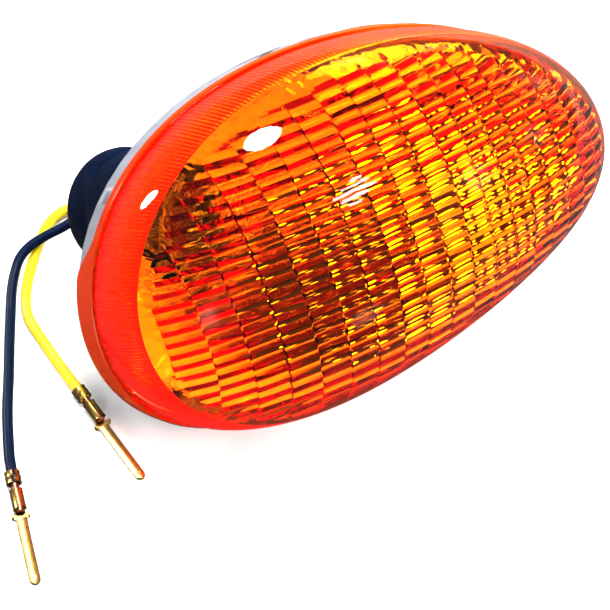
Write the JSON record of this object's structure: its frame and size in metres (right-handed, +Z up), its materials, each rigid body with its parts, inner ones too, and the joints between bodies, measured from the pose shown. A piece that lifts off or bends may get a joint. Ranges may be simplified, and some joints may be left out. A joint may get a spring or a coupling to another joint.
{
  "type": "turn signal indicator",
  "caption": "Egg-shaped amber turn signal lamp for a scooter, with a plug-in bayonet bulb holder in a rubber boot and two leads with blade terminals.",
  "frame": {"origin": "on the table, under the middle of the lamp's box measured without the leads", "axes": "+X along the lamp's long axis towards its narrow end, +Y to the back, +Z up; the lamp leans back, lens facing -Y and up"},
  "size_m": [0.1612, 0.0807, 0.0645],
  "materials": {
    "amber_lens": "clear amber, polished",
    "seal": "matte",
    "housing": "fine grain",
    "reflector": "aluminised",
    "steel": "bright",
    "vent": "matte",
    "brass": "bright",
    "fibre": "pressed fibre",
    "boot": "satin",
    "glass": "clear",
    "black_glass": "gloss",
    "nickel": "nickel plated",
    "lead_black": "satin",
    "lead_yellow": "satin",
    "copper": "bright"
  },
  "bodies": {
    "holder": {"boot": "boot", "holder_shell": "steel", "holder_washer": "fibre", "contact_spring": "steel", "lead_black": "lead_black", "lead_yellow": "lead_yellow", "strands_black": "copper", "strands_yellow": "copper", "terminal_black": "brass", "terminal_yellow": "brass"},
    "contact": {"contact_disc": "fibre", "contact_rivet": "brass"},
    "bulb": {"bulb_cap": "nickel", "bulb_insulator": "black_glass", "bulb_tip": "steel", "bulb_glass": "glass", "bulb_stem": "glass", "bulb_filament": "steel"},
    "head": {"housing": "housing", "lens": "amber_lens", "lens_seal": "seal", "reflector": "reflector", "reflector_screws": "steel", "vent_cap": "vent", "insert_upper": "brass", "insert_lower": "brass", "insert_outer": "brass"}
  },
  "joints": [
    {"name": "contact_push", "type": "slide", "parent": "holder", "child": "contact", "axis": [0, 0.6871, -0.7266], "range_m": [0, 0.0018], "stiffness_N_per_m": 600, "springref_m": -0.002},
    {"name": "bulb_turn", "type": "hinge", "parent": "contact", "child": "bulb", "pos_m": [-0.0367, 0.02288, 0.01673], "axis": [0, -0.6871, 0.7266], "range_deg": [-25, 0]},
    {"name": "head_slide", "type": "slide", "parent": "holder", "child": "head", "axis": [0, -0.6871, 0.7266], "range_m": [0, 0.04]}
  ]
}
